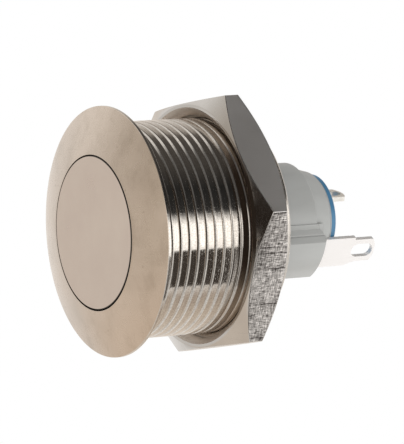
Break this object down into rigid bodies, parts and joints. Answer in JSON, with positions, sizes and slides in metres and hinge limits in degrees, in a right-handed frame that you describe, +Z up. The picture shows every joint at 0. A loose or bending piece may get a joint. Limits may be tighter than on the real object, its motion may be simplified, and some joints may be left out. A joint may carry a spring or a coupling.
{
  "type": "anti vandal push button",
  "caption": "Momentary metal push button switch for a panel: plated head with a captive button, threaded barrel, hexagon nut, moulded housing and solder tags.",
  "frame": {"origin": "on the push axis, in the plane where the rear face of the head seats on the panel", "axes": "+Y along the push axis, from the head towards the terminals, which is the way the button moves when pressed; +Z up as in the picture; +X completes the right-handed frame"},
  "size_m": [0.0286, 0.0309, 0.0266],
  "materials": {
    "head_metal": "satin nickel plate on turned brass",
    "button_metal": "satin nickel plate on turned brass",
    "nut_metal": "nickel plate over milled flats",
    "seal_rubber": "matt black nitrile",
    "plunger_plastic": "natural acetal",
    "spring_steel": "drawn stainless wire and strip",
    "bridge_copper": "rolled copper alloy",
    "contact_silver": "polished silver alloy",
    "terminal_metal": "tinned, soft shine",
    "housing_plastic": "moulded, semi-matt grey",
    "base_plastic": "moulded, semi-matt blue"
  },
  "bodies": {
    "shell": {"bezel_shell": "head_metal", "switch_housing": "housing_plastic", "housing_seal": "seal_rubber", "housing_ring": "spring_steel", "plunger_seal": "seal_rubber", "return_spring": "spring_steel", "terminal_base": "base_plastic", "side_terminal": "terminal_metal", "rear_terminal": "terminal_metal", "fixed_contact_side": "contact_silver", "fixed_contact_rear": "contact_silver"},
    "button": {"push_button": "button_metal", "button_seal": "seal_rubber", "plunger": "plunger_plastic", "bridge_clip": "spring_steel", "contact_spring": "spring_steel"},
    "bridge": {"contact_bridge": "bridge_copper", "moving_contact_side": "contact_silver", "moving_contact_rear": "contact_silver"},
    "nut": {"hex_nut": "nut_metal"}
  },
  "joints": [
    {"name": "button_travel", "type": "slide", "parent": "shell", "child": "button", "axis": [0, 1, 0], "range_m": [0, 0.0015], "stiffness_N_per_m": 800, "springref_m": -0.003, "deforming": ["return_spring", "contact_spring"]},
    {"name": "bridge_travel", "type": "slide", "parent": "shell", "child": "bridge", "axis": [0, 1, 0], "range_m": [0, 0.00098]},
    {"name": "nut_travel", "type": "slide", "parent": "shell", "child": "nut", "axis": [0, 1, 0], "range_m": [-0.00865, 0.00145]}
  ],
  "couplings": [
    {"joint": "bridge_travel", "follows": "button_travel", "ratio": 0.653}
  ]
}
